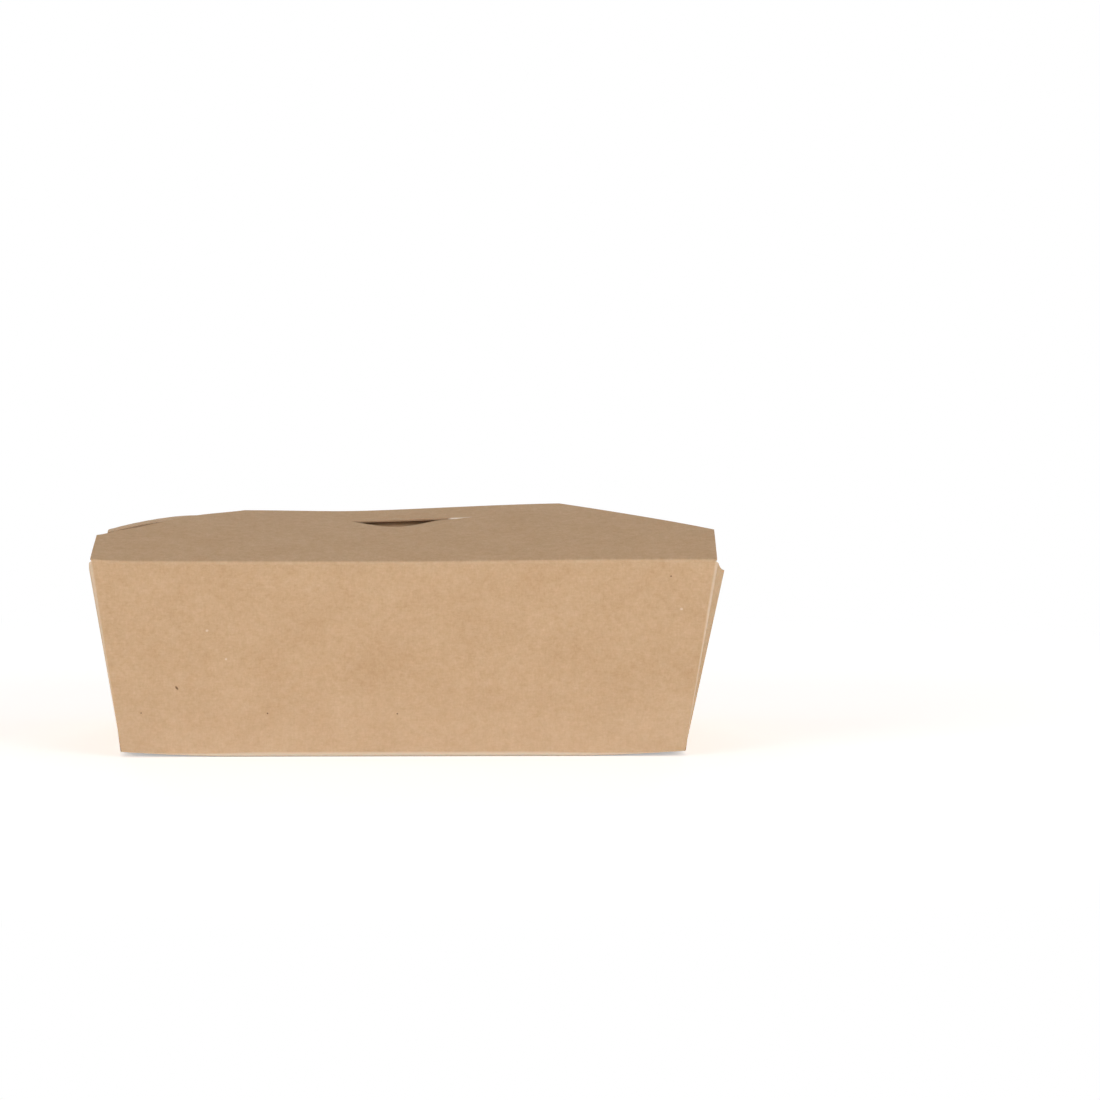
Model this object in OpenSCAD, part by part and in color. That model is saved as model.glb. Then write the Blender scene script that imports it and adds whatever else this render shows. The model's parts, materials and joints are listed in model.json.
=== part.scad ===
// Kraft food carton: one sheet of board folded into a flared tub and closed by four top flaps.
// The long side lies along X, the front faces -Y, and the carton stands on Z = 0.

/* [Tub] */
// Length over the top folds of the long walls
top_length = 216; // [204:1:240]
// Width over the two long top folds
top_width = 160; // [150:1:180]
// Length of the base
base_length = 196; // [170:1:204]
// Width of the base
base_width = 140; // [120:1:148]
// Height of the top folds
tub_height = 69; // [50:0.5:90]
// Thickness of the board
board = 0.5; // [0.4:0.05:0.6]
// Outside radius of the folds around the base
base_fold_radius = 2; // [1:0.1:3]
// Radius of the bead that a pressed crease leaves along a top fold
crease_radius = 0.4; // [0.35:0.05:0.6]

/* [Corner webs] */
// Air left between two folded plies
ply_gap = 0.3; // [0.2:0.05:0.6]
// How far the outer ply of a web bulges at its top edge
web_bulge = 2.6; // [0.5:0.1:5]
// Drop of the webs' cut edges below the top folds
web_drop = 2.5; // [1:0.1:4]

/* [Front and rear flaps] */
// Length by which the front flap lies over the rear flap
flap_overlap = 10.8; // [6:0.2:16]
// Length of a flap's straight sides
flap_side = 38; // [20:0.5:45]
// Width of a flap's free edge
flap_edge = 112; // [80:1:130]
// Gap between the swinging front flap and its crease
swing_gap = 0.3; // [0.3:0.05:0.5]
// Air between the rear flap and the front flap over it
flap_gap = 0.5; // [0.4:0.05:1]
// Height of the front flap's free edge above the folds, at its left end
front_rise_left = 12.3; // [11:0.1:16]
// Height of the front flap's free edge above the folds, at its right end
front_rise_right = 14.2; // [12:0.1:18]
// Share of the front flap's rise that comes early
front_arch = 0.3; // [0.1:0.05:0.6]
// Share of the rear flap's rise that comes early
rear_arch = 0.7; // [0.3:0.05:0.8]
// Share of its height that the rear flap loses at its sides
rear_droop = 0.5; // [0.1:0.05:0.6]

/* [Slit and tongue] */
// Length of the slit in the front flap
slit_length = 40; // [30:1:60]
// Width of the cut
slit_width = 0.5; // [0.4:0.05:1]
// How far the lip in front of the slit is pressed down
lip_dip = 2.8; // [0.5:0.1:4]
// Length of board that the pressed lip spreads over
lip_spread = 22; // [12:1:40]
// Play between the tongue on the rear flap and each end of the slit
tongue_play = 3; // [1:0.5:6]
// Length of the tongue beyond the rear flap's free edge
tongue_length = 10; // [6:0.5:16]
// How far the tongue's tip is bent down from the front flap
tongue_dip = 1.8; // [0:0.1:3]
// Distance between the tongue's tip and the slit
tongue_gap = 0.2; // [0.2:0.1:1]

/* [End flaps] */
// Drop of the end folds below the long folds, so that the end flaps lie under the long flaps
end_fold_drop = 1; // [0.8:0.1:3]
// Length of an end flap from its fold to its free edge
end_flap_depth = 60; // [40:1:70]
// Length of an end flap's straight sides
end_flap_side = 14; // [5:1:25]
// Width of an end flap's free edge
end_flap_edge = 84; // [60:1:100]
// Distance of an end flap's sides from the long walls
end_flap_clear = 6; // [5:0.5:10]
// How far an end flap's free edge sags below its fold
end_flap_sag = 2.5; // [1:0.1:6]

/* [Hidden] */
kraft_colour = [0.79, 0.66, 0.51];
flap_colour = [0.72, 0.58, 0.45];
bead_sides = 32;
arc_steps = 6;
bulge_steps = 10;
tongue_steps = 16;
// Rows or columns of points in each stretch of a flap
stretch_steps = 5;
// Length by which a cut or an outline runs past the board
spare = 5;

// Axes of the top creases, which run through the middle of the board
fold_z = tub_height - crease_radius;
fold_y = top_width / 2 - crease_radius;
web_stack = 2 * (board + ply_gap);
end_fold_x = top_length / 2 - web_stack - crease_radius;
end_fold_z = fold_z - end_fold_drop;

// Lean of the long walls and of the end walls, outwards from upright
long_lean = atan((fold_y + board / 2 - base_width / 2) / fold_z);
end_lean = atan((end_fold_x + board / 2 - base_length / 2) / end_fold_z);

// Foot and top corner of a web, on the middle of its outer ply
web_foot = [base_length / 2 - board / 2, base_width / 2 - board / 2, base_fold_radius];
web_share = (fold_z - web_drop - web_foot.z) / (fold_z - web_foot.z);
web_corner = [mix(web_foot.x, (top_length - board) / 2, web_share),
              mix(web_foot.y, fold_y, web_share),
              mix(web_foot.z, fold_z, web_share)];
// Reach of a web along the top, when its crease halves the angle between the flat walls
wall_flare = atan((fold_y - base_width / 2) * cos(end_lean) / fold_z);
web_angle = 45 - wall_flare;
web_reach = norm(web_corner - web_foot) * sin(web_angle) / sin(90 + wall_flare - web_angle);

// Long flaps: their length, and the place of the slit measured from the front fold
flap_depth = fold_y + flap_overlap / 2;
flap_start = crease_radius + swing_gap;
meeting_d = 2 * fold_y - flap_depth;
slit_d = meeting_d - tongue_length - tongue_gap;
tongue_width = slit_length - 2 * tongue_play;

// Height of the rear flap's free edge, just under the front flap, and of its tongue's tip
rear_rise = front_height(-flap_edge / 2, meeting_d) - board - flap_gap;
tongue_tip = front_height(0, slit_d + slit_width / 2) - board - flap_gap - tongue_dip;

// Half the width of an end flap at its fold
end_flap_half = fold_y - board / 2 - end_flap_clear;

function mix(a, b, t) = a + (b - a) * t;
function clamp01(t) = min(1, max(0, t));
function smooth(t) = let (c = clamp01(t)) c * c * (3 - 2 * c);
function steps(a, b, n = stretch_steps) = [for (i = [1:n]) mix(a, b, i / n)];

// Height at share t of a flap's length, where arch is the share of the rise that comes early
function arched(t, arch) = (1 + arch) * t - arch * t * t;

// Height of the front flap above its fold, at place x along the fold and distance d from it
function edge_rise(x) =
    mix(front_rise_left, front_rise_right, smooth((x + top_length / 8) / (0.4 * top_length)));
function lip_drop(x, d) =
    abs(x) >= slit_length / 2 || d > slit_d ? 0
    : lip_dip * pow(cos(180 * x / slit_length), 2) * smooth(1 - (slit_d - d) / lip_spread);
function front_height(x, d) = edge_rise(x) * arched(d / flap_depth, front_arch) - lip_drop(x, d);

// Height of the rear flap above its fold, which sinks towards its sides and along its tongue
function side_sink(x) = rear_droop * pow(clamp01((abs(x) / top_length - 0.35) / 0.15), 2);
function rear_height(x, d) =
    d <= flap_depth ? rear_rise * arched(d / flap_depth, rear_arch) * (1 - side_sink(x))
    : mix(rear_rise, tongue_tip, clamp01((d - flap_depth) / tongue_length));

// Outline of a long flap seen from above, with its fold on the X axis and its length along Y
flap_outline = [[top_length / 2, -spare], [top_length / 2, flap_side], [flap_edge / 2, flap_depth],
                [-flap_edge / 2, flap_depth], [-top_length / 2, flap_side], [-top_length / 2, -spare]];
tongue_outline = [for (i = [0:tongue_steps])
    let (a = 180 * i / tongue_steps)
    [tongue_width / 2 * cos(a), flap_depth + tongue_length * sin(a)]];
end_flap_outline = [[end_flap_half, 0], [end_flap_half, end_flap_side],
                    [end_flap_edge / 2, end_flap_depth], [-end_flap_edge / 2, end_flap_depth],
                    [-end_flap_half, end_flap_side], [-end_flap_half, 0]];

// Columns of points across a long flap, closest together at the slit
flap_columns = concat([-top_length / 2 - spare],
                      steps(-top_length / 2 - spare, -slit_length / 2),
                      steps(-slit_length / 2, slit_length / 2, 2 * stretch_steps),
                      steps(slit_length / 2, top_length / 2 + spare));
front_rows = concat([flap_start],
                    steps(flap_start, slit_d - lip_spread),
                    steps(slit_d - lip_spread, slit_d - slit_width / 3),
                    [slit_d + slit_width / 3],
                    steps(slit_d + slit_width / 3, flap_depth + spare));
rear_rows = concat([0],
                   steps(0, flap_depth, 2 * stretch_steps),
                   steps(flap_depth, flap_depth + tongue_length, 2),
                   [flap_depth + tongue_length + spare]);

// Section of the tub: one side from the base to its top point, and both sides joined
function section_side(half_base, lean, inset, top_point) =
    let (centre = [half_base - base_fold_radius * tan((90 - lean) / 2), base_fold_radius])
    concat([for (i = [0:arc_steps])
               let (a = mix(-90, -lean, i / arc_steps))
               centre + (base_fold_radius - inset) * [cos(a), sin(a)]],
           [top_point]);
function both_sides(points) =
    concat(points, [for (i = [len(points) - 1:-1:0]) [-points[i].x, points[i].y]]);
function wall_top(half_base, lean, inset, z) = [half_base + z * tan(lean) - inset / cos(lean), z];

module tub_section(half_base, lean, inset, z) {
    polygon(both_sides(section_side(half_base, lean, inset, wall_top(half_base, lean, inset, z))));
}
module wall_ring(half_base, lean, z) {
    difference() {
        tub_section(half_base, lean, 0, z);
        tub_section(half_base, lean, board, z + spare);
    }
}
module along_x() {
    rotate([90, 0, 90])
        linear_extrude(top_length + 2 * spare, center = true)
            children();
}
module along_y() {
    rotate([90, 0, 0])
        linear_extrude(top_width + 2 * spare, center = true)
            children();
}

// Front wall, rear wall and the base between them, with the end edges that carry the webs
module long_walls() {
    intersection() {
        along_x()
            wall_ring(base_width / 2, long_lean, fold_z);
        along_y()
            polygon(both_sides(section_side(base_length / 2, end_lean, 0,
                                            [top_length / 2, fold_z])));
    }
}

// End walls and the base between them
module end_walls() {
    intersection() {
        along_y()
            wall_ring(base_length / 2, end_lean, end_fold_z);
        along_x()
            tub_section(base_width / 2, long_lean, 0, fold_z);
    }
}

// Bead of a pressed crease along X
module crease_bead(length) {
    rotate([0, 90, 0])
        cylinder(h = length, r = crease_radius, center = true, $fn = bead_sides);
}

// Triangle of board from a foot up to the row of points along its top edge
module web_ply(foot, edge) {
    half = [board / 2, 0, 0];
    last = len(edge) - 1;
    points = concat([foot + half, foot - half], [for (p = edge) each [p + half, p - half]]);
    function outer(i) = 2 + 2 * i;
    function inner(i) = 3 + 2 * i;
    fans = [for (i = [0:last - 1])
        each [[0, outer(i + 1), outer(i)],
              [1, inner(i), inner(i + 1)],
              [outer(i), inner(i + 1), inner(i)],
              [outer(i), outer(i + 1), inner(i + 1)]]];
    ends = [[0, inner(0), 1], [0, outer(0), inner(0)],
            [0, inner(last), outer(last)], [0, 1, inner(last)]];
    polyhedron(points, concat(fans, ends));
}

// Web at the corner towards +X and +Y: two plies outside the end wall, joined at a slanted crease
module corner_web() {
    inward = [-board - ply_gap, 0, 0];
    end_of_edge = web_corner - [0, web_reach, 0];
    web_ply(web_foot, [for (t = concat([0], steps(0, 1, bulge_steps)))
        mix(web_corner, end_of_edge, t) + [web_bulge * sin(180 * pow(t, 0.8)), 0, 0]]);
    web_ply(web_foot, [web_corner + inward, end_of_edge + inward]);
    // Slanted crease, drawn as a solid ply across the gap
    web_ply(web_foot, [end_of_edge + [0, 2 * board, 0] + inward / 2, end_of_edge + inward / 2]);
}

// Sheet of board over a grid of places, at the height that a function gives
module curved_board(columns, rows, height) {
    count = len(columns);
    last = len(rows) - 1;
    size = count * len(rows);
    middle = [for (d = rows) for (x = columns) [x, d, height(x, d)]];
    lift = [0, 0, board / 2];
    function at(i, j) = i * count + j;
    rim = concat([for (j = [0:count - 1]) at(0, j)],
                 [for (i = [1:last]) at(i, count - 1)],
                 [for (j = [count - 2:-1:0]) at(last, j)],
                 [for (i = [last - 1:-1:1]) at(i, 0)]);
    upper = [for (i = [0:last - 1]) for (j = [0:count - 2])
        each [[at(i, j), at(i + 1, j), at(i + 1, j + 1)],
              [at(i, j), at(i + 1, j + 1), at(i, j + 1)]]];
    lower = [for (f = upper) [f[0] + size, f[2] + size, f[1] + size]];
    sides = [for (k = [0:len(rim) - 1])
        let (a = rim[k], b = rim[(k + 1) % len(rim)])
        each [[a, b, b + size], [a, b + size, a + size]]];
    polyhedron([for (p = middle) p + lift, for (p = middle) p - lift],
               concat(upper, lower, sides), convexity = 6);
}

// Flap cut from a curved board to its outline, with its fold on the X axis
module cut_flap(rows, height) {
    intersection() {
        curved_board(flap_columns, rows, height);
        translate([0, 0, -tub_height / 2])
            linear_extrude(tub_height)
                children();
    }
}

module rear_flap() {
    translate([0, fold_y, fold_z])
        rotate(180)
            cut_flap(rear_rows, function(x, d) rear_height(x, d))
                polygon(concat([for (i = [0:2]) flap_outline[i]], tongue_outline,
                               [for (i = [3:5]) flap_outline[i]]));
}

// End flap at the +X end, which sags from its fold
module end_flap() {
    translate([end_fold_x, 0, end_fold_z])
        rotate([0, -asin(end_flap_sag / end_flap_depth), 0])
            rotate(90)
                linear_extrude(board, center = true)
                    polygon(end_flap_outline);
}

module carton_body() {
    color(kraft_colour) {
        long_walls();
        end_walls();
        for (side = [-1, 1])
            translate([0, side * fold_y, fold_z])
                crease_bead(top_length);
        for (turn = [0, 180])
            rotate(turn)
                translate([end_fold_x, 0, end_fold_z])
                    rotate(90)
                        crease_bead(2 * end_flap_half);
        for (flip_x = [0, 1], flip_y = [0, 1])
            mirror([flip_x, 0, 0])
                mirror([0, flip_y, 0])
                    corner_web();
    }
    color(flap_colour) {
        rear_flap();
        for (turn = [0, 180])
            rotate(turn)
                end_flap();
    }
}

module front_flap() {
    color(flap_colour)
        translate([0, -fold_y, fold_z])
            difference() {
                cut_flap(front_rows, function(x, d) front_height(x, d))
                    polygon(flap_outline);
                translate([-slit_length / 2, slit_d - slit_width / 2, 0])
                    cube([slit_length, slit_width, tub_height / 2]);
            }
}

carton_body();
front_flap();
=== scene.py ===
"""Looks of the kraft food carton: board meshes, materials, light and camera around the frame.

Lengths are in millimetres until a mesh is made, where they become metres.
"""

import json
import math

import bmesh
import bpy
import numpy as np
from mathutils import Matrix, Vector


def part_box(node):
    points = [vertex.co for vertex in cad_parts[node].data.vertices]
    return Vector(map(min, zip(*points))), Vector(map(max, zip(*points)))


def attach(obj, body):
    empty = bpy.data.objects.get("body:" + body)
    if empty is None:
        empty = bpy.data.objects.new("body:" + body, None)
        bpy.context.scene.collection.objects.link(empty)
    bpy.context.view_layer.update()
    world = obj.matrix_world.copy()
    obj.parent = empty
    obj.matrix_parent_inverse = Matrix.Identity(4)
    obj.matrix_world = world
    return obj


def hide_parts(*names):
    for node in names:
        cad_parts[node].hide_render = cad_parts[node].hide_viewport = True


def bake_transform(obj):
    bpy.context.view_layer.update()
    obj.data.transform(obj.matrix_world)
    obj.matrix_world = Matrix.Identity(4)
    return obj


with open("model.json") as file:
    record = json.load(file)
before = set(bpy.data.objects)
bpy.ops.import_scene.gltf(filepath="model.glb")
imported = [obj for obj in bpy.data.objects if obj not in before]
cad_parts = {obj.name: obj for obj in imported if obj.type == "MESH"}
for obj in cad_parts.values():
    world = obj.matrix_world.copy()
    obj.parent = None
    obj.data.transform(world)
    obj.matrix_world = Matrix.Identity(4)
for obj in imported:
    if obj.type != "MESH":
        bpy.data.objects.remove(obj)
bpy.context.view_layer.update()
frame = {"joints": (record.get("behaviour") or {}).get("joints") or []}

MM = 0.001
CARTON, TOP_FLAP = "carton", "top_flap"

# Tub, from the frame where it gives a size
HINGE = [value / MM for value in frame["joints"][0]["pos_m"]]
FOLD_Y, FOLD_Z = -HINGE[1], HINGE[2]
HALF_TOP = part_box("front_flap")[1].x / MM
HALF_BASE_X, HALF_BASE_Y = 97.95, 70.0
BASE_SHIFT = -0.3
BOARD = 0.5
PLY_GAP = 0.3

# Folds
BASE_RADIUS, CORNER_RADIUS = 2.3, 0.3
UPRIGHT_RADIUS, UPRIGHT_OUT = 0.9, 0.6
FOLD_ROUND = 1.2
# Shares of pale colour at the top folds and at the upright corner folds: the whitening of bent board, with
# a painted highlight along each fold
FOLD_PALE, UPRIGHT_HIGHLIGHT = 0.08, 0.5
END_DROP = 1.0
CORNER_LIFT = 1.8

# Webs beside the end walls: their cut edges start at the folds and fall away from them
WEB_TAB = 1.0
WEB_DROP, WEB_FALL, INNER_DROP = 5.2, 6.7, 2.3
WEB_BULGE = {(1, -1): 3.85, (-1, -1): 1.25, (1, 1): 1.9, (-1, 1): 2.3}
EARLY_BULGE = 1.25
# Distance that sets the webs' grain apart from the walls'
WEB_SHEET = 300.0
# Below this share of its height a web's two plies lie too close for a fold of their own
HEM_SHARE = 0.5

# Long flaps
FLAP_SIDE = 38.0
HALF_EDGE = 56.0
FLAP_DEPTH = 85.0
FRONT_RISE, FRONT_RISE_RIGHT, FRONT_ARCH = 12.3, 1.9, 0.3
FLAP_SKEW = 0.6
REAR_RISE, REAR_DROOP = 10.1, 1.5
REAR_FALL, REAR_FALL_START = 0.71, 74.0
SEEN_SLOPE = math.tan(math.radians(4.0))
REAR_TAPER = 0.8

# Slit in the front flap and tongue on the rear flap
SLIT_D, SLIT_MIDDLE = 64.0, 1.5
HALF_SLIT = 20.0
LIP_DIP, LIP_SPREAD = 2.6, 18.0
LIP_MIDDLE, HALF_LIP = -2.0, 17.5
CUT_DIP = 0.35
HALF_TONGUE, TONGUE_LENGTH, TONGUE_DIP = 17.0, 10.0, 3.3

# End flaps
END_DEPTH, END_SIDE, END_HALF, END_HALF_EDGE, END_SAG = 60.0, 14.0, 73.3, 42.0, 2.5

# Points across the outer stretches of a long panel, and between the ends of the slit
OUTER_STEPS, INNER_STEPS = 20, 24
# Flat band beside a fold, which keeps the fold's roundness off the panel
EDGE_BAND = 0.6

# Outer corner lines of the top folds
APEX_Y = FOLD_Y + BOARD / 2
APEX_Z = FOLD_Z + BOARD / 2
WEB_STACK = 2 * (BOARD + PLY_GAP)
END_APEX_X = HALF_TOP - WEB_STACK - 0.15
END_APEX_Z = APEX_Z - END_DROP


def clamp01(t):
    """The value, held between 0 and 1."""
    return np.clip(t, 0.0, 1.0)


def smooth(t):
    """Ease from 0 to 1 as the value goes from 0 to 1."""
    c = clamp01(np.asarray(t, float))
    return c * c * (3 - 2 * c)


def mix(a, b, t):
    """Value at share t of the way from a to b."""
    return a + (b - a) * t


LONG_LEAN = math.atan((APEX_Y - HALF_BASE_Y) / FOLD_Z)
END_LEAN = math.atan((END_APEX_X - HALF_BASE_X) / (FOLD_Z - END_DROP))


def side_edge(z):
    """Half the length of a long wall at height z, out to its corner folds."""
    return mix(HALF_BASE_X, HALF_TOP, z / FOLD_Z)


def wall_y(z):
    """Distance of a long wall's outside from the middle of the carton at height z."""
    return HALF_BASE_Y + z * math.tan(LONG_LEAN)


def columns(half):
    """Places across a long panel of that half width, fixed between the ends of the slit."""
    tongue = np.linspace(-HALF_TONGUE, HALF_TONGUE, INNER_STEPS - 1)
    inner = np.concatenate([[-HALF_SLIT], tongue, [HALF_SLIT]]) + SLIT_MIDDLE
    left = np.linspace(EDGE_BAND - half, inner[0], OUTER_STEPS + 1)[:-1]
    right = np.linspace(inner[-1], half - EDGE_BAND, OUTER_STEPS + 1)[1:]
    return np.concatenate([[-half], left, inner, right, [half]])


def base_radius(share):
    """Radius of a base fold at a share of the way from its middle to a corner."""
    return mix(BASE_RADIUS, CORNER_RADIUS, smooth((np.abs(share) - 0.45) / 0.55))


def corner_lift(share_x, share_y):
    """How far the base stands off the table, which it does only at its corners."""
    along = clamp01((np.abs(share_x) - 0.6) / 0.4) ** 1.5
    across = clamp01((np.abs(share_y) - 0.45) / 0.55) ** 1.5
    return CORNER_LIFT * along * across


def fold_rise(share):
    """Height of the front top fold above its nominal line, from the left corner to the right."""
    left = 0.35 * share**2 + 0.8 * np.abs(share) ** 24
    right = 0.6 * smooth(share / 0.75)
    return np.where(share < 0, left, right) - 0.3


def hump(x, middle, half):
    """Smooth hump of height 1 over a middle, down to 0 at half its width from it."""
    return np.cos(np.pi / 2 * clamp01(np.abs(x - middle) / half)) ** 2


def arched(t, arch):
    """Rise from 0 to 1 along a flap, with an upward arch."""
    return (1 + arch) * t - arch * t * t


def front_height(x, d):
    """Height of the front flap above its fold, lifted at its right and dented at its slit."""
    rise = FRONT_RISE + FRONT_RISE_RIGHT * smooth((x + HALF_TOP / 4) / (0.8 * HALF_TOP))
    rise = rise - 0.35 * np.exp(-(((x + 20) / 22) ** 2))
    height = rise * arched(d / FLAP_DEPTH, FRONT_ARCH)
    height = height + 0.4 * smooth((x - 50) / 58) * np.sin(np.pi * clamp01(d / FLAP_DEPTH)) ** 2
    left_bulge = 0.85 * hump(x, -76, 22)
    left_droop = 0.75 * smooth((-x - 100) / 8)
    return height + left_bulge * smooth(d / 60) - left_droop * smooth(d / FLAP_SIDE)


def lip_drop(x, d):
    """Drop of the lip in front of the slit, and a smaller one along the rest of the cut."""
    across = hump(x, LIP_MIDDLE, HALF_LIP)
    ends = smooth((HALF_SLIT - np.abs(x - SLIT_MIDDLE)) / 2)
    fade = clamp01(1 - (SLIT_D - d) / LIP_SPREAD) ** 2
    at_cut = smooth(1 - (SLIT_D - d) / 3)
    return LIP_DIP * across * fade * ends + CUT_DIP * ends * at_cut * (1 - across)


def rear_height(x, d):
    """Height of the rear flap above its fold.

    It bows upwards, so that its wings fall again towards their edges and a low front view shows their tops.
    """
    fall = clamp01((np.abs(x) - REAR_FALL_START) / (HALF_TOP - REAR_FALL_START))
    rise = REAR_RISE * (1 - REAR_FALL * fall**1.5)
    slant = clamp01((np.abs(x) - HALF_EDGE) / (HALF_TOP - HALF_EDGE))
    reach = FLAP_DEPTH - (FLAP_DEPTH - FLAP_SIDE) * slant
    seen = SEEN_SLOPE * reach
    crown = np.sqrt(rise - seen)
    bow = crown + np.sqrt(REAR_DROOP * smooth((np.abs(x) - HALF_EDGE) / 20))
    share = np.minimum(d / reach, 1.0)
    height = (seen + 2 * crown * bow) * share - (bow * share) ** 2
    return height - TONGUE_DIP * clamp01((d - FLAP_DEPTH) / TONGUE_LENGTH)


def flap_half(d):
    """Half the width of a long flap at distance d from its fold."""
    slant = mix(HALF_TOP, HALF_EDGE, (d - FLAP_SIDE) / (FLAP_DEPTH - FLAP_SIDE))
    return HALF_TOP if d <= FLAP_SIDE else slant


class Board:
    """A sheet of board, gathered as grids of points on its outer face and then thickened."""

    def __init__(self, name):
        self.name = name
        self.bm = bmesh.new()
        self.uv = self.bm.loops.layers.uv.new("flat")
        self.fold = self.bm.verts.layers.float.new("fold")

    def grid(self, points, flat, fold=None):
        """Adds quads over rows of points. flat holds each point's place on the unfolded sheet."""
        rows, count = points.shape[:2]
        if fold is None:
            fold = np.zeros((rows, count))
        verts = [[self.bm.verts.new(points[i, j] * MM) for j in range(count)] for i in range(rows)]
        for i in range(rows):
            for j in range(count):
                verts[i][j][self.fold] = float(fold[i, j])
        for i in range(rows - 1):
            for j in range(count - 1):
                ring = [(i, j), (i, j + 1), (i + 1, j + 1), (i + 1, j)]
                face = self.bm.faces.new([verts[a][b] for a, b in ring])
                face.smooth = True
                for loop, (a, b) in zip(face.loops, ring):
                    loop[self.uv].uv = Vector(flat[a, b] * MM)

    def finish(self, materials):
        """Welds the grids, thickens the sheet inwards and closes its cut edges."""
        bmesh.ops.remove_doubles(self.bm, verts=self.bm.verts, dist=0.002 * MM)
        bmesh.ops.dissolve_degenerate(self.bm, edges=self.bm.edges, dist=0.0001 * MM)
        mesh = bpy.data.meshes.new(self.name)
        self.bm.to_mesh(mesh)
        self.bm.free()
        for material in materials:
            mesh.materials.append(material)
        piece = bpy.data.objects.new(self.name, mesh)
        bpy.context.scene.collection.objects.link(piece)
        solid = piece.modifiers.new("thickness", "SOLIDIFY")
        solid.thickness = BOARD * MM
        solid.offset = -1.0
        solid.use_even_offset = False
        solid.use_rim = True
        solid.material_offset = 1
        solid.material_offset_rim = 2
        apply_modifiers(piece)
        piece.data.set_sharp_from_angle(angle=math.radians(40))
        return piece


def apply_modifiers(piece):
    """Turns the piece's mesh into what its modifiers make of it."""
    graph = bpy.context.evaluated_depsgraph_get()
    made = bpy.data.meshes.new_from_object(piece.evaluated_get(graph))
    piece.modifiers.clear()
    piece.data = made
    made.name = piece.name


def running_length(rows):
    """Distance along the middle column of a stack of rows, for places on the unfolded sheet."""
    middle = rows[:, rows.shape[1] // 2]
    steps = np.linalg.norm(np.diff(middle, axis=0), axis=1)
    return np.concatenate([[0], np.cumsum(steps)])


def rounded_fold(before, apex, after, steps):
    """Rows of a soft fold between lines before and after its apex, with their share of bend."""
    t = np.linspace(0, 1, steps + 1)[:, None, None]
    rows = (1 - t) ** 2 * before + 2 * t * (1 - t) * apex + t**2 * after
    return rows, np.repeat(4 * t[:, :, 0] * (1 - t[:, :, 0]), rows.shape[1], axis=1)


def line(x, y, z):
    """A row of points, from values that are arrays or single numbers."""
    return np.stack(np.broadcast_arrays(np.asarray(x, float), y, z), axis=-1)


def wall_foot(share, side):
    """Rows of the fold between the base and a long wall, from the base up to the wall."""
    radius = base_radius(share)
    inset = radius * math.tan((math.pi / 2 - LONG_LEAN) / 2)
    lift = corner_lift(share, 1.0)
    x = share * (HALF_BASE_X - CORNER_RADIUS) + BASE_SHIFT
    rows = []
    for a in np.linspace(-math.pi / 2, -LONG_LEAN, 9):
        y = side * (HALF_BASE_Y - inset + radius * math.cos(a))
        rows.append(line(x, y, lift + radius * (1 + math.sin(a))))
    return np.array(rows)


def end_foot(share, half_base):
    """Rows of the fold between the base and an end wall at +X, from the base up to the wall."""
    radius = base_radius(share)
    inset = radius * math.tan((math.pi / 2 - END_LEAN) / 2)
    lift = corner_lift(1.0, share)
    y = share * (HALF_BASE_Y - CORNER_RADIUS)
    rows = []
    for a in np.linspace(-math.pi / 2, -END_LEAN, 9):
        x = half_base - inset + radius * math.cos(a)
        rows.append(line(x, y, lift + radius * (1 + math.sin(a))))
    return np.array(rows)


# Height at which the long walls part from the webs and turn into their top folds
PART_Z = FOLD_Z - 1.9
WALL_SHARES = np.concatenate([[0, 0.01], np.linspace(0.05, 0.95, 15), [0.99, 1]])
TURN_SHARES = (0.35, 0.7, 1.0)


def long_wall(share, side):
    """Rows of a long wall from its foot up to the brink of its top fold."""
    foot = wall_foot(share, side)[-1]
    half = side_edge(PART_Z) - UPRIGHT_RADIUS
    top = line(columns(half), side * wall_y(PART_Z), PART_Z)
    rows = [mix(foot, top, t) for t in WALL_SHARES]
    rows += [mix(top, fold_brink(side), t) for t in TURN_SHARES]
    return np.array(rows)


def fold_apex(side, half=HALF_TOP):
    """Outer corner line of a long top fold."""
    x = columns(half)
    rise = fold_rise(x / HALF_TOP) if side < 0 else np.full_like(x, -0.1)
    return line(x, side * APEX_Y, APEX_Z + rise)


def fold_brink(side):
    """Line on a long wall where its top fold begins to turn, as long as the wall's flat part."""
    down = np.array([0, -side * math.sin(LONG_LEAN), -math.cos(LONG_LEAN)])
    return fold_apex(side, HALF_TOP - UPRIGHT_RADIUS) + FOLD_ROUND * down


def flap_line(side, d, height):
    """A row of points on a long flap at distance d from its fold."""
    along_side = min(d / FLAP_SIDE, 1.0)
    taper, skew = REAR_TAPER * along_side, 0.0
    if side < 0:
        slant = (d - FLAP_SIDE) / (FLAP_DEPTH - FLAP_SIDE)
        taper, skew = 0.0, FLAP_SKEW * min(d / FLAP_SIDE, 1 - 2 * slant)
    x = columns(flap_half(d) - taper)
    apex = fold_apex(side)
    z = np.interp(x, apex[:, 0], apex[:, 2])
    return line(x + skew, side * (APEX_Y - d), z + height(x, d))


def flap_distances(start, stop, steps):
    """Distances from start to stop that include the corner where a flap's sides turn."""
    spread = np.linspace(start, stop, steps + 1)
    nearest = int(np.argmin(np.abs(spread - FLAP_SIDE)))
    if start < FLAP_SIDE < stop:
        spread[nearest] = FLAP_SIDE
    return spread


def flat_places(rows, start=0.0):
    """Places of a stack of rows on the unfolded sheet, where the rows follow its second axis."""
    along = start + running_length(rows)
    return np.stack([rows[:, :, 0], np.repeat(along[:, None], rows.shape[1], axis=1)], axis=-1)


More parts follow.
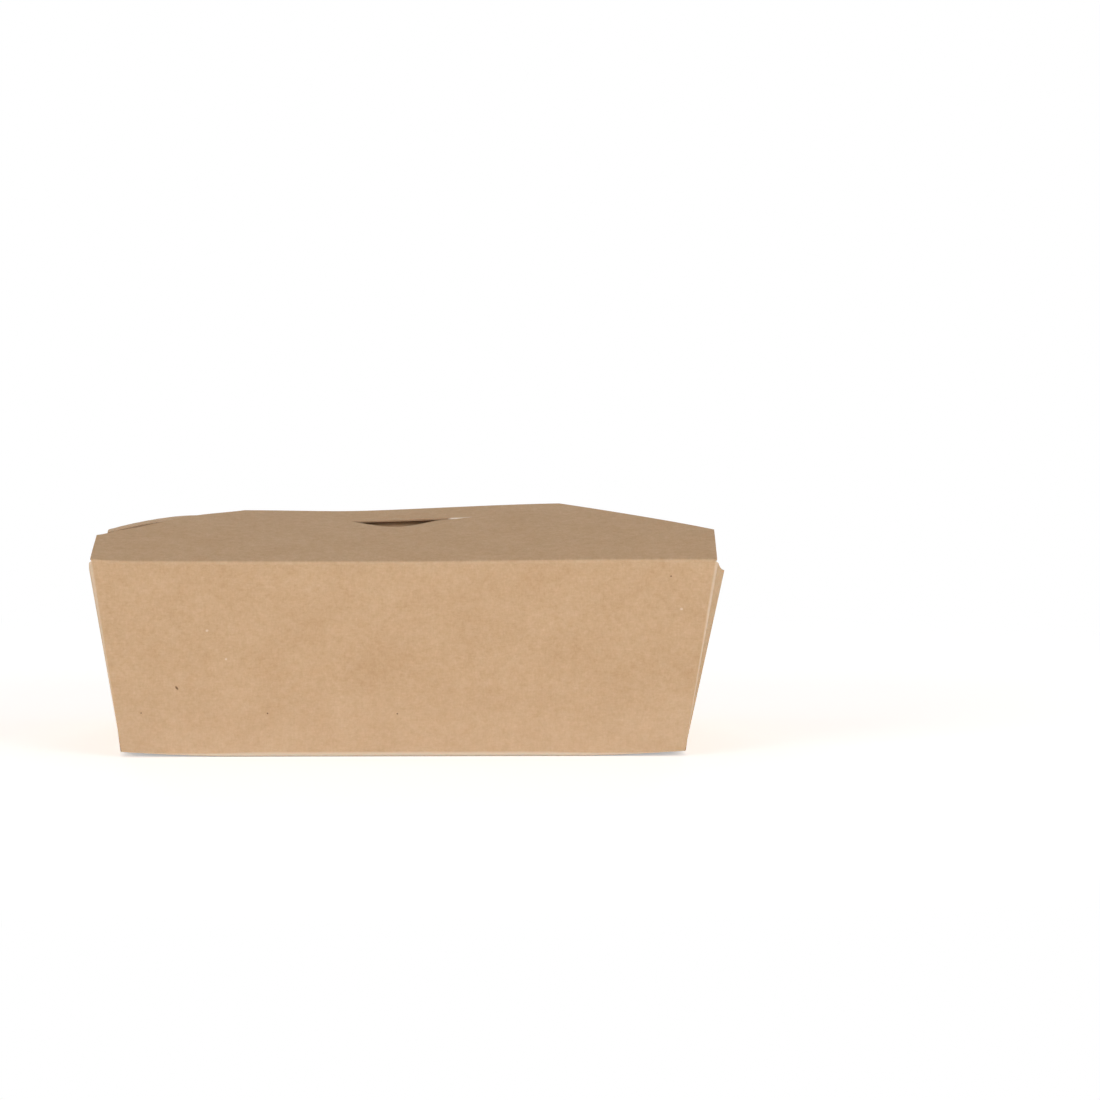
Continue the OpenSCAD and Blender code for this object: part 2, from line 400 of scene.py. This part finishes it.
def web_path(foot, bulge):
    """Line of a web at the height of PART_Z: round the corner, out along its ply and back again.

    Returns its places, how far along each lies, its share of pale fold colour (whitening of the bent board
    with a painted highlight), and where its hem starts.
    """
    edge_x, edge_y = side_edge(PART_Z), -wall_y(PART_Z)
    flare = math.atan((APEX_Y - HALF_BASE_Y) * math.cos(END_LEAN) / FOLD_Z)
    slant = math.pi / 4 - flare
    upright = math.dist((edge_x, edge_y, PART_Z), tuple(foot))
    reach = upright * math.sin(slant) / math.sin(math.pi / 2 + flare - slant)
    wide = UPRIGHT_RADIUS + UPRIGHT_OUT
    slope = (EARLY_BULGE * math.pi * bulge - UPRIGHT_OUT) / reach
    swing = math.atan(slope * UPRIGHT_RADIUS / wide)
    centre_x, centre_y = edge_x - UPRIGHT_RADIUS, edge_y + UPRIGHT_RADIUS
    path = []
    # Round the corner fold, painted paler towards its middle: a painted highlight along the fold, with the
    # whitening of the bent board
    for a, bend in zip(np.linspace(-math.pi / 2, -swing, 9), np.linspace(0, math.pi, 9)):
        x, y = centre_x + wide * math.cos(a), centre_y + UPRIGHT_RADIUS * math.sin(a)
        path.append((x, y, UPRIGHT_HIGHLIGHT * math.sin(bend)))
    start_x, start_y, _ = path[-1]
    end_y = edge_y + reach
    for t in np.linspace(0, 1, 29)[1:]:
        turn = math.pi * t * (EARLY_BULGE - (EARLY_BULGE - 1) * t)
        path.append((mix(start_x, edge_x, t) + bulge * math.sin(turn), mix(start_y, end_y, t), 0.0))
    hem_start = len(path) - 1
    hem = BOARD + PLY_GAP / 2
    for a in np.linspace(0, math.pi, 9)[1:]:
        path.append((edge_x - hem + hem * math.cos(a), end_y + hem * math.sin(a), 0.3 * math.sin(a)))
    for t in np.linspace(0, 1, 9)[1:]:
        path.append((edge_x - 2 * hem, mix(end_y, edge_y + 2 * BOARD, t), 0.0))
    places = np.array([(x, y, PART_Z) for x, y, _ in path])
    along = np.concatenate([[0], np.cumsum(np.linalg.norm(np.diff(places, axis=0), axis=1))])
    return places, along, np.array([f for _, _, f in path]), hem_start


def web_grids(side_x, side_y):
    """Grids of the web at a corner, drawn at +X and -Y.

    They are the plies, as a cone from the web's foot, and the corner beside the long top fold.
    """
    wall = long_wall(columns(HALF_BASE_X) / HALF_BASE_X, side_y)[:, -1 if side_x > 0 else 0]
    wall = np.abs(wall) * (1, -1, 1)
    tab = wall[-1] + WEB_TAB * np.array([0, -math.sin(LONG_LEAN), math.cos(LONG_LEAN)])
    foot, brink = wall[0], np.vstack([wall[-len(TURN_SHARES) - 1 :], tab])
    places, along, fold, hem_start = web_path(foot, WEB_BULGE[(side_x, side_y)])

    inner = along[-1] - along
    end_drop = INNER_DROP * smooth(1 - inner / 20)
    fall = WEB_DROP * (1 - np.exp(-np.minimum(along, inner) / WEB_FALL))
    tops = brink[-1, 2] - fall - end_drop
    share = (tops - foot[2]) / (PART_Z - foot[2])
    reached = foot + np.minimum(share, 1.0)[:, None] * (places - foot)
    cone = np.array([mix(foot, reached, t) for t in WALL_SHARES])
    spread = side_edge(PART_Z) + along
    across = np.array([mix(foot[0], spread, t) for t in WALL_SHARES])
    flat = np.stack([across, cone[:, :, 2] - WEB_SHEET], axis=-1)
    bend = np.tile(fold, (len(WALL_SHARES), 1))
    first = int(np.argmax(WALL_SHARES > HEM_SHARE))
    outer, inner_ply = np.s_[:, : hem_start + 1], np.s_[first:, hem_start:]
    grids = [(cone[part], flat[part], bend[part]) for part in (outer, inner_ply)]

    count = int(np.argmax(tops < PART_Z)) + 1
    gain = np.maximum(tops[:count] - PART_Z, 0) / (tops[0] - PART_Z)
    corner = np.array([reached[:count] + gain[:, None] * (edge - brink[0]) for edge in brink])
    across = np.tile(spread[:count], (len(corner), 1))
    flat = np.stack([across, corner[:, :, 2] - WEB_SHEET], axis=-1)
    grids.append((corner, flat, np.tile(fold[:count], (len(corner), 1))))
    return grids


def mirrored(points, flat, fold, flip_x, flip_y):
    """The same grid on the other side of the carton, with its outer face still outwards."""
    points, flat = points.copy(), flat.copy()
    if flip_x:
        points[..., 0] *= -1
        flat[..., 0] *= -1
    if flip_y:
        points[..., 1] *= -1
        flat[..., 1] *= -1
    if flip_x != flip_y:
        points, flat, fold = points[:, ::-1], flat[:, ::-1], fold[:, ::-1]
    return points, flat, fold


def build_long_strip(board):
    """Rear flap, rear wall, base and front wall, as one run of board from back to front."""
    share = columns(HALF_BASE_X) / HALF_BASE_X
    distances = flap_distances(FLAP_DEPTH, FOLD_ROUND, 30)
    flap = np.array([flap_line(1, d, rear_height) for d in distances])
    turn, bend = rounded_fold(flap[-1], fold_apex(1), fold_brink(1), 8)
    rear = long_wall(share, 1)[::-1]
    rear_foot = wall_foot(share, 1)[::-1]
    front_foot = wall_foot(share, -1)
    front = long_wall(share, -1)
    base_rows = []
    for t in np.linspace(0, 1, 27)[1:-1]:
        row = mix(rear_foot[-1], front_foot[0], t)
        share_y = row[:, 1] / HALF_BASE_Y
        inset = base_radius(share_y) * math.tan((math.pi / 2 - END_LEAN) / 2)
        lift = corner_lift(share, share_y)
        base_rows.append(line(share * (HALF_BASE_X - inset) + BASE_SHIFT, row[:, 1], lift))
    rows = np.concatenate(
        [flap, turn[1:], rear[1:], rear_foot[1:], np.array(base_rows), front_foot, front[1:]]
    )
    fold = np.zeros(rows.shape[:2])
    first = len(flap) - 1
    # The rear top fold is painted a little paler: whitening of the bent board with a painted highlight
    fold[first : first + len(turn)] = FOLD_PALE * bend
    # Base folds painted fully pale: painted light from the white floor below, together with the whitening
    # of the bent board
    arc = np.sin(np.linspace(0, math.pi, len(front_foot)))[:, None]
    last = len(rows) - len(front) + 1
    fold[last - len(front_foot) : last] = arc
    rear_last = first + len(turn) - 1 + len(rear) - 1 + len(rear_foot)
    fold[rear_last - len(rear_foot) : rear_last] = arc
    board.grid(rows, flat_places(rows), fold)
    build_tongue(board, flap[0])


def build_tongue(board, edge):
    """Rounded tongue beyond the rear flap's free edge."""
    inside = np.abs(edge[:, 0] - SLIT_MIDDLE) <= HALF_TONGUE + 1e-6
    root = edge[inside]
    rows = []
    for t in np.sin(np.linspace(math.pi / 2 * 0.97, 0, 12)):
        x = SLIT_MIDDLE + (root[:, 0] - SLIT_MIDDLE) * math.sqrt(1 - t * t)
        d = FLAP_DEPTH + TONGUE_LENGTH * t
        z = root[:, 2] - rear_height(root[:, 0], FLAP_DEPTH) + rear_height(x, d)
        rows.append(line(x, APEX_Y - d, z))
    rows = np.array(rows)
    board.grid(rows, flat_places(rows, -TONGUE_LENGTH))


def build_end(board, flip):
    """Base fold, end wall, top fold and end flap at one end of the carton."""
    share = np.linspace(-1, 1, 41)
    foot = end_foot(share, HALF_BASE_X + (-BASE_SHIFT if flip else BASE_SHIFT))
    apex_half = wall_y(FOLD_Z - END_DROP) - BOARD - 0.1
    brink_x = END_APEX_X - FOLD_ROUND * math.sin(END_LEAN)
    brink_z = END_APEX_Z - FOLD_ROUND * math.cos(END_LEAN)
    brink = line(brink_x, share * apex_half, brink_z)
    wall = np.array([mix(foot[-1], brink, t) for t in WALL_SHARES])
    rows = np.concatenate([foot, wall[1:]])
    fold = np.zeros(rows.shape[:2])
    # Base folds painted fully pale: painted light from the white floor below, together with the whitening
    # of the bent board
    fold[: len(foot)] = np.sin(np.linspace(0, math.pi, len(foot)))[:, None]
    along = HALF_BASE_X + running_length(rows)
    flat = np.stack([np.repeat(along[:, None], rows.shape[1], axis=1), rows[:, :, 1]], axis=-1)
    board.grid(*mirrored(rows, flat, fold, flip, False))

    y = share * END_HALF
    flap = []
    for d in np.linspace(FOLD_ROUND, END_DEPTH, 25):
        slant = max((d - END_SIDE) / (END_DEPTH - END_SIDE), 0.0)
        half = mix(END_HALF, END_HALF_EDGE, slant)
        flap.append(line(END_APEX_X - d, share * half, END_APEX_Z - END_SAG * d / END_DEPTH))
    brink, apex = line(brink_x, y, brink_z), line(END_APEX_X, y, END_APEX_Z)
    turn, bend = rounded_fold(brink, apex, flap[0], 8)
    rows = np.concatenate([turn, np.array(flap)[1:]])
    fold = np.zeros(rows.shape[:2])
    # The end top fold is painted a little paler: whitening of the bent board with a painted highlight
    fold[: len(turn)] = FOLD_PALE * bend
    along = along[-1] + running_length(rows)
    flat = np.stack([np.repeat(along[:, None], rows.shape[1], axis=1), rows[:, :, 1]], axis=-1)
    board.grid(*mirrored(rows, flat, fold, flip, False))


def build_carton(materials):
    """Everything that stays put: the tub, its webs, the end flaps and the rear flap."""
    board = Board("carton_board")
    build_long_strip(board)
    for flip in (False, True):
        build_end(board, flip)
    for side_x, side_y in WEB_BULGE:
        for grid in web_grids(side_x, side_y):
            board.grid(*mirrored(*grid, side_x < 0, side_y > 0))
    return board.finish(materials)


def build_front_flap(materials):
    """Swinging flap, as two stretches of board that part at the slit."""
    board = Board("front_flap_board")
    lip = 0.15
    distances = flap_distances(FOLD_ROUND, SLIT_D, 40)
    front = []
    for d in distances:
        row = flap_line(-1, d, front_height)
        row[:, 2] -= lip_drop(row[:, 0], d)
        front.append(row)
    inside = np.abs(front[-1][:, 0] - SLIT_MIDDLE) < HALF_SLIT - 1e-6
    front[-1][inside, 1] -= lip
    rear = [flap_line(-1, d, front_height) for d in np.linspace(SLIT_D, FLAP_DEPTH, 15)]
    rear[0][inside, 1] += lip
    front, rear = np.array(front), np.array(rear)
    # Painted highlight: the slit's cut edge beyond the lip is painted pale, as if it caught the light
    painted_cut_highlight = np.zeros(rear.shape[:2])
    x = rear[0][:, 0]
    shut = (x > LIP_MIDDLE + HALF_LIP) | (x < LIP_MIDDLE - HALF_LIP + 3)
    painted_cut_highlight[0] = np.where(inside & shut, 1.0, 0.0)
    board.grid(front, flat_places(front))
    board.grid(rear, flat_places(rear, SLIT_D), painted_cut_highlight)
    return board.finish(materials)


def build_crease(materials):
    """Soft fold between the front wall and the front flap."""
    board = Board("front_crease")
    start = flap_line(-1, FOLD_ROUND, front_height)
    rows, bend = rounded_fold(fold_brink(-1), fold_apex(-1), start, 10)
    # The crease is painted a little paler: whitening of the bent board with a painted highlight
    board.grid(rows, flat_places(rows, -FOLD_ROUND), FOLD_PALE * bend)
    return board.finish(materials)


class Nodes:
    """Short ways to add nodes to a material's tree."""

    def __init__(self, tree):
        self.tree = tree

    def add(self, kind, **values):
        """A new node, with the given properties or input values."""
        node = self.tree.nodes.new(kind)
        for key, value in values.items():
            if hasattr(node, key):
                setattr(node, key, value)
            else:
                node.inputs[key].default_value = value
        return node

    def link(self, source, target):
        """Link from an output to an input."""
        self.tree.links.new(source, target)

    def math(self, operation, a, b, clamp=False):
        """Output of a calculation with two values, each a number or an output."""
        node = self.add("ShaderNodeMath", operation=operation, use_clamp=clamp)
        for socket, value in zip(node.inputs, (a, b)):
            if isinstance(value, (int, float)):
                socket.default_value = value
            else:
                self.link(value, socket)
        return node.outputs[0]

    def noise(self, vector, scale, detail, roughness=0.5):
        """Output of a noise texture over a vector."""
        node = self.add("ShaderNodeTexNoise")
        node.inputs["Scale"].default_value = scale
        node.inputs["Detail"].default_value = detail
        node.inputs["Roughness"].default_value = roughness
        self.link(vector, node.inputs["Vector"])
        return node.outputs["Fac"]

    def mapped(self, vector, scale, turn=0.0, shift=0.0):
        """The vector, scaled, turned in its plane and shifted."""
        node = self.add("ShaderNodeMapping")
        node.inputs["Scale"].default_value = (scale[0], scale[1], 1.0)
        node.inputs["Rotation"].default_value = (0.0, 0.0, turn)
        node.inputs["Location"].default_value = (shift, shift, 0.0)
        self.link(vector, node.inputs["Vector"])
        return node.outputs["Vector"]


def linear(red, green, blue):
    """Linear colour from sRGB values up to 255."""
    def one(c):
        c /= 255
        return c / 12.92 if c <= 0.04045 else ((c + 0.055) / 1.055) ** 2.4
    return one(red), one(green), one(blue), 1.0


def specks(nodes, vector, cells, size, share, shift):
    """Mask of scattered specks: cells to the metre, size in cells, share of cells with one."""
    place = nodes.mapped(vector, (1.0, 1.0), shift=shift)
    voronoi = nodes.add("ShaderNodeTexVoronoi", feature="F1")
    voronoi.inputs["Scale"].default_value = cells
    voronoi.inputs["Randomness"].default_value = 1.0
    wobble = nodes.noise(place, cells * 12, 2.0)
    nodes.link(place, voronoi.inputs["Vector"])
    split = nodes.add("ShaderNodeSeparateColor")
    nodes.link(voronoi.outputs["Color"], split.inputs["Color"])
    present = nodes.math("LESS_THAN", split.outputs[0], share)
    grow = nodes.math("MULTIPLY", nodes.math("ADD", split.outputs[1], 0.35), size)
    uneven = nodes.math("MULTIPLY", nodes.math("SUBTRACT", wobble, 0.5), size * 1.6)
    distance = nodes.math("ADD", voronoi.outputs["Distance"], uneven)
    within = nodes.math("MULTIPLY", nodes.math("SUBTRACT", grow, distance), 2.5 / size, clamp=True)
    return nodes.math("MULTIPLY", within, present)


def mixed(nodes, factor, first, second):
    """Colour at a factor between two colours, each a value or the output of a node."""
    node = nodes.add("ShaderNodeMix", data_type="RGBA")
    node.inputs["Factor"].default_value = 0.5
    nodes.link(factor, node.inputs["Factor"])
    for socket, colour in (("A", first), ("B", second)):
        target = next(s for s in node.inputs if s.name == socket and s.type == "RGBA")
        if isinstance(colour, tuple):
            target.default_value = colour
        else:
            nodes.link(colour, target)
    return next(s for s in node.outputs if s.type == "RGBA")


def fibres(nodes, flat):
    """Uneven blend of pulp fibres, about 0.5 on average, and the grain that lifts the surface."""
    grain = nodes.noise(flat, 2800.0, 2.0, 0.6)
    along = nodes.noise(nodes.mapped(flat, (520.0, 1500.0)), 1.0, 3.0, 0.6)
    across = nodes.noise(nodes.mapped(flat, (1700.0, 480.0), shift=5.3), 1.0, 3.0, 0.6)
    slant = nodes.noise(nodes.mapped(flat, (480.0, 1700.0), turn=0.8, shift=3.1), 1.0, 3.0, 0.6)
    parts = (
        (nodes.noise(flat, 60.0, 2.0), 0.45),
        (nodes.noise(flat, 330.0, 4.0, 0.6), 0.75),
        (nodes.noise(flat, 1000.0, 3.0, 0.6), 0.55),
        (along, 0.40),
        (across, 0.45),
        (slant, 0.30),
        (grain, 0.35),
    )
    total = 0.5
    for fac, weight in parts:
        uneven = nodes.math("MULTIPLY", nodes.math("SUBTRACT", fac, 0.5), weight)
        total = nodes.math("ADD", uneven, total)
    return total, nodes.math("ADD", grain, along)


def mark_mask(nodes, place, marks):
    """Mask of marks on the front wall, each with its place, half length, half height and turn."""
    total = 0.0
    for x, z, half_length, half_height, turn in marks:
        node = nodes.add("ShaderNodeMapping", vector_type="TEXTURE")
        node.inputs["Location"].default_value = (x * MM, 0.0, z * MM)
        node.inputs["Rotation"].default_value = (0.0, turn, 0.0)
        node.inputs["Scale"].default_value = (half_length * MM, 1000.0, half_height * MM)
        nodes.link(place, node.inputs["Vector"])
        length = nodes.add("ShaderNodeVectorMath", operation="LENGTH")
        nodes.link(node.outputs["Vector"], length.inputs[0])
        spot = nodes.math("SUBTRACT", 1.0, length.outputs["Value"], clamp=True)
        total = nodes.math("ADD", nodes.math("MULTIPLY", spot, 2.5, clamp=True), total)
    split = nodes.add("ShaderNodeSeparateXYZ")
    nodes.link(place, split.inputs[0])
    return nodes.math("MULTIPLY", total, nodes.math("LESS_THAN", split.outputs["Y"], -0.06))


def board_material(name, dark, light, pale, roughness, coat=0.0):
    """Kraft board: a blend of darker and lighter fibres, specks and marks, with pale colour mixed in at
    folds, at a cut edge and near the table; that pale colour is the whitening of bent board together with
    painted highlights and painted light from the floor.
    """
    material = bpy.data.materials.new(name)
    material.use_nodes = True
    tree = material.node_tree
    nodes = Nodes(tree)
    shader = tree.nodes["Principled BSDF"]
    flat = nodes.add("ShaderNodeUVMap", uv_map="flat").outputs["UV"]
    blend, relief = fibres(nodes, flat)
    colour = mixed(nodes, blend, dark, light)
    place = nodes.add("ShaderNodeTexCoord").outputs["Object"]
    split = nodes.add("ShaderNodeSeparateXYZ")
    nodes.link(place, split.inputs[0])
    # Painted light: the board is paler towards the table, standing in for light thrown up from the white
    # floor
    below = nodes.math("SUBTRACT", LOW_HEIGHT, split.outputs["Z"])
    low = nodes.math("MULTIPLY", below, LOW_PAINTED_LIGHT / LOW_HEIGHT, clamp=True)
    # Pale colour from the fold attribute: whitening of bent board, painted highlights on folds and on a cut
    # edge, and painted light at the base folds
    fold_whitening_and_highlight = nodes.add("ShaderNodeAttribute", attribute_name="fold")
    colour = mixed(nodes, nodes.math("ADD", fold_whitening_and_highlight.outputs["Fac"], low, clamp=True), colour, pale)
    few_dark = nodes.math("MULTIPLY", specks(nodes, flat, 62.0, 0.020, 0.42, 0.37), 0.45)
    colour = mixed(nodes, few_dark, colour, DARK_SPECK)
    few_pale = nodes.math("MULTIPLY", specks(nodes, flat, 75.0, 0.024, 0.25, 1.91), 0.35)
    colour = mixed(nodes, few_pale, colour, PALE_SPECK)
    dark_marks = nodes.math("MULTIPLY", mark_mask(nodes, place, DARK_MARKS), 0.8)
    colour = mixed(nodes, dark_marks, colour, DARK_SPECK)
    pale_marks = nodes.math("MULTIPLY", mark_mask(nodes, place, PALE_MARKS), 0.45)
    colour = mixed(nodes, pale_marks, colour, PALE_SPECK)
    nodes.link(colour, shader.inputs["Base Color"])
    bump = nodes.add("ShaderNodeBump")
    bump.inputs["Strength"].default_value = 0.3
    bump.inputs["Distance"].default_value = 0.05 * MM
    nodes.link(relief, bump.inputs["Height"])
    nodes.link(bump.outputs["Normal"], shader.inputs["Normal"])
    shader.inputs["Roughness"].default_value = roughness
    shader.inputs["Specular IOR Level"].default_value = 0.03
    shader.inputs["Coat Weight"].default_value = coat
    shader.inputs["Coat Roughness"].default_value = 0.18
    shader.inputs["Subsurface Weight"].default_value = 0.3
    shader.inputs["Subsurface Radius"].default_value = (1.0, 0.6, 0.4)
    shader.inputs["Subsurface Scale"].default_value = 0.5 * MM
    return material


DARK_SPECK, PALE_SPECK = linear(96, 66, 44), linear(240, 226, 206)
# Marks on the front wall: x, z, half length, half height and turn
DARK_MARKS = (
    (-78.6, 24.4, 0.9, 0.45, 0.9),
    (-47.3, 15.4, 0.35, 0.35, 0.0),
    (-2.4, 15.2, 0.35, 0.3, 0.0),
    (-91.0, 15.6, 0.3, 0.3, 0.0),
    (92.1, 63.3, 0.35, 0.3, 0.0),
)
PALE_MARKS = (
    (95.8, 51.8, 0.6, 0.55, 0.0),
    (-68.0, 44.5, 0.6, 0.5, 0.0),
    (-61.5, 34.5, 0.5, 0.5, 0.0),
)
# Painted light near the table: paler up to this height, standing in for light from the white floor below;
# in metres
LOW_PAINTED_LIGHT, LOW_HEIGHT = 0.12, 0.03
outside = board_material(
    "kraft_outside",
    dark=linear(188, 152, 114),
    light=linear(217, 187, 153),
    pale=linear(232, 215, 194),
    roughness=0.82,
)
inside = board_material(
    "kraft_coated_inside",
    dark=linear(200, 174, 146),
    light=linear(220, 199, 174),
    pale=linear(230, 215, 194),
    roughness=0.5,
    coat=0.8,
)
# Cut edges, coloured darker than the faces: painted shade that keeps the cut edges in the slit dark; their
# pale colour serves painted highlights
edge = board_material(
    "kraft_cut_edge_shaded",
    dark=linear(150, 121, 95),
    light=linear(172, 145, 119),
    pale=linear(240, 226, 208),
    roughness=0.9,
)

carton = build_carton([outside, inside, edge])
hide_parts("carton_body")
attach(carton, CARTON)

flap = build_front_flap([outside, inside, edge])
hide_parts("front_flap")
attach(flap, TOP_FLAP)

crease = build_crease([outside, inside, edge])
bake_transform(crease)


def light_path_white(tree, plain, seen):
    """Output of one shader for light and of another for what the camera, gloss and glass see."""
    nodes = Nodes(tree)
    path = nodes.add("ShaderNodeLightPath")
    shown = nodes.math("MAXIMUM", path.outputs["Is Camera Ray"], path.outputs["Is Glossy Ray"])
    shown = nodes.math("MAXIMUM", shown, path.outputs["Is Transmission Ray"])
    chooser = nodes.add("ShaderNodeMixShader")
    nodes.link(shown, chooser.inputs[0])
    nodes.link(plain, chooser.inputs[1])
    nodes.link(seen, chooser.inputs[2])
    return chooser.outputs[0]


def make_world(strength, warmth):
    """Even surroundings, seen as white, that give a little warm light of the given strength."""
    world = bpy.data.worlds.new("studio")
    bpy.context.scene.world = world
    world.use_nodes = True
    tree = world.node_tree
    tree.nodes.clear()
    nodes = Nodes(tree)
    plain = nodes.add("ShaderNodeBackground")
    plain.inputs["Strength"].default_value = strength
    seen = nodes.add("ShaderNodeBackground")
    seen.inputs["Strength"].default_value = 1.0
    plain.inputs["Color"].default_value = (1.0, 1.0 - warmth, 1.0 - 1.6 * warmth, 1.0)
    seen.inputs["Color"].default_value = (1.0, 1.0, 1.0, 1.0)
    output = nodes.add("ShaderNodeOutputWorld")
    nodes.link(light_path_white(tree, plain.outputs[0], seen.outputs[0]), output.inputs["Surface"])


def make_floor(half, white, shown, glow):
    """Wide floor that keeps the carton's shadow, and that the camera sees as white away from it.

    It lights the carton with the given whiteness. The camera sees the shown one, with a glow.
    """
    mesh = bpy.data.meshes.new("floor")
    corners = [(-half, -half, 0), (half, -half, 0), (half, half, 0), (-half, half, 0)]
    mesh.from_pydata(corners, [], [(0, 1, 2, 3)])
    floor = bpy.data.objects.new("floor", mesh)
    bpy.context.scene.collection.objects.link(floor)
    material = bpy.data.materials.new("floor_white")
    material.use_nodes = True
    tree = material.node_tree
    tree.nodes.clear()
    nodes = Nodes(tree)
    plain = nodes.add("ShaderNodeBsdfDiffuse")
    plain.inputs["Color"].default_value = (white, white, white, 1.0)
    bright = nodes.add("ShaderNodeBsdfDiffuse")
    bright.inputs["Color"].default_value = (shown, shown, shown, 1.0)
    lift = nodes.add("ShaderNodeEmission")
    lift.inputs["Strength"].default_value = glow
    near = nodes.add("ShaderNodeAddShader")
    nodes.link(bright.outputs[0], near.inputs[0])
    nodes.link(lift.outputs[0], near.inputs[1])
    far = nodes.add("ShaderNodeEmission")
    far.inputs["Strength"].default_value = 1.0
    distance = nodes.add("ShaderNodeVectorMath", operation="LENGTH")
    nodes.link(nodes.add("ShaderNodeNewGeometry").outputs["Position"], distance.inputs[0])
    ramp = nodes.add("ShaderNodeMapRange", interpolation_type="SMOOTHSTEP")
    ramp.inputs["From Min"].default_value = 0.2
    ramp.inputs["From Max"].default_value = 0.55
    nodes.link(distance.outputs["Value"], ramp.inputs["Value"])
    seen = nodes.add("ShaderNodeMixShader")
    nodes.link(ramp.outputs["Result"], seen.inputs[0])
    nodes.link(near.outputs[0], seen.inputs[1])
    nodes.link(far.outputs[0], seen.inputs[2])
    output = nodes.add("ShaderNodeOutputMaterial")
    nodes.link(light_path_white(tree, plain.outputs[0], seen.outputs[0]), output.inputs["Surface"])
    mesh.materials.append(material)


def add_lamp(name, azimuth, elevation, distance, size, level):
    """Square soft light, a little cool, that gives a facing white surface the stated level."""
    data = bpy.data.lights.new(name, "AREA")
    data.shape = "SQUARE"
    data.size = size
    data.color = (0.975, 1.0, 1.02)
    data.energy = level * math.pi**2 * distance**2
    lamp = bpy.data.objects.new(name, data)
    bpy.context.scene.collection.objects.link(lamp)
    a, e = math.radians(azimuth), math.radians(elevation)
    away = Vector((math.sin(a) * math.cos(e), -math.cos(a) * math.cos(e), math.sin(e)))
    target = Vector((0, 0, FOLD_Z / 2 * MM))
    lamp.location = target + away * distance
    lamp.rotation_euler = (-away).to_track_quat("-Z", "Y").to_euler()


def make_camera():
    """Long lens in the carton's middle plane, a little above it, with the carton left of centre."""
    image = 1100.0
    image_width = 379.0
    distance, elevation = 2400.0, math.radians(4.0)
    middle_px, fold_px = 404.0, 560.5
    scale = image_width / image
    aim = Vector((
        (image / 2 - middle_px) * scale,
        -APEX_Y,
        APEX_Z + (fold_px - image / 2) * scale,
    ))
    data = bpy.data.cameras.new("camera")
    data.sensor_width = 36.0
    data.lens = data.sensor_width * distance / image_width
    data.clip_start, data.clip_end = 0.05, 50.0
    camera = bpy.data.objects.new("camera", data)
    bpy.context.scene.collection.objects.link(camera)
    back, up = distance * math.cos(elevation), distance * math.sin(elevation)
    place = Vector((0, -APEX_Y - back, aim.z + up))
    camera.location = place * MM
    camera.rotation_euler = (aim - place).to_track_quat("-Z", "Y").to_euler()
    bpy.context.scene.camera = camera


make_world(0.34, 0.1)
make_floor(4.0, 0.88, 1.1, 0.42)
add_lamp("key_left", -38, 8, 2.6, 1.4, 0.5)
add_lamp("key_right", 38, 8, 2.6, 1.4, 0.52)
add_lamp("side_left", -92, 5, 2.6, 1.4, 0.24)
add_lamp("side_right", 92, 5, 2.6, 1.4, 0.24)
add_lamp("fill", 180, 10, 2.6, 1.6, 0.4)
make_camera()
bpy.context.scene.view_settings.view_transform = "Standard"
